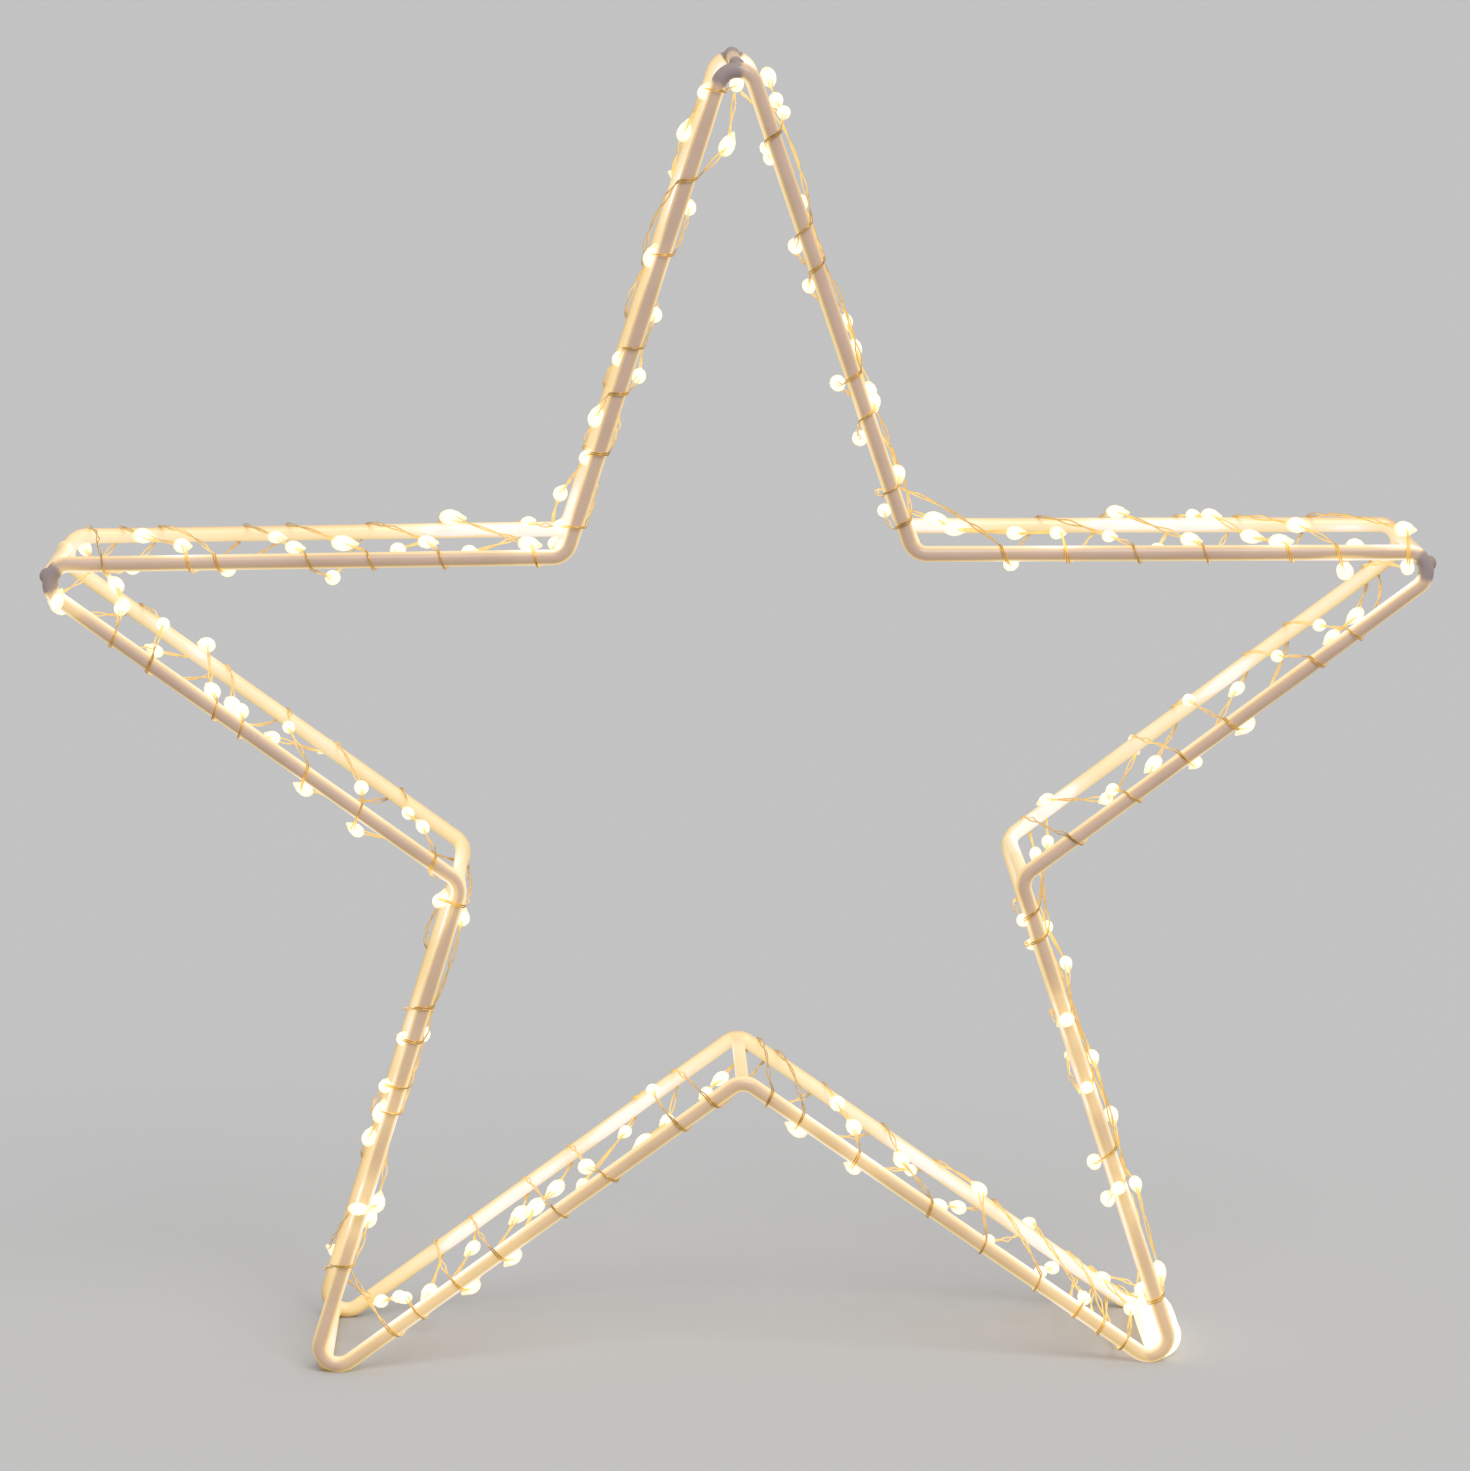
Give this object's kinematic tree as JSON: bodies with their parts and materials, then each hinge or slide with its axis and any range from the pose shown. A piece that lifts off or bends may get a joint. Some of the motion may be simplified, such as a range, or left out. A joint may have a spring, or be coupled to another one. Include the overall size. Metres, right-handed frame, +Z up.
{
  "type": "led christmas star",
  "caption": "Double-frame star of bent rod, wound all round with a string of small warm lights; stands on its lower tips or hangs by its top bar.",
  "frame": {"origin": "on the surface the star stands on, under the middle of its box", "axes": "+X to the star's right as seen from the front, +Y from the front frame to the rear frame, +Z up to the top tip"},
  "size_m": [0.4, 0.077, 0.3811],
  "materials": {
    "frame_paint": "satin pale paint",
    "bar_paint": "satin pale paint",
    "sleeve_plastic": "translucent, lit from inside",
    "light_resin": "clear resin drops on gold enamelled wire, lit warm white"
  },
  "bodies": {
    "root": {"front_frame": "frame_paint", "rear_frame": "frame_paint", "bar_top_tip": "bar_paint", "bar_upper_right_notch": "bar_paint", "bar_right_tip": "bar_paint", "bar_lower_right_notch": "bar_paint", "bar_lower_right_tip": "bar_paint", "bar_bottom_notch": "bar_paint", "bar_lower_left_tip": "bar_paint", "bar_lower_left_notch": "bar_paint", "bar_left_tip": "bar_paint", "bar_upper_left_notch": "bar_paint", "lead_in_sleeve": "sleeve_plastic", "light_string": "light_resin"}
  },
  "joints": []
}
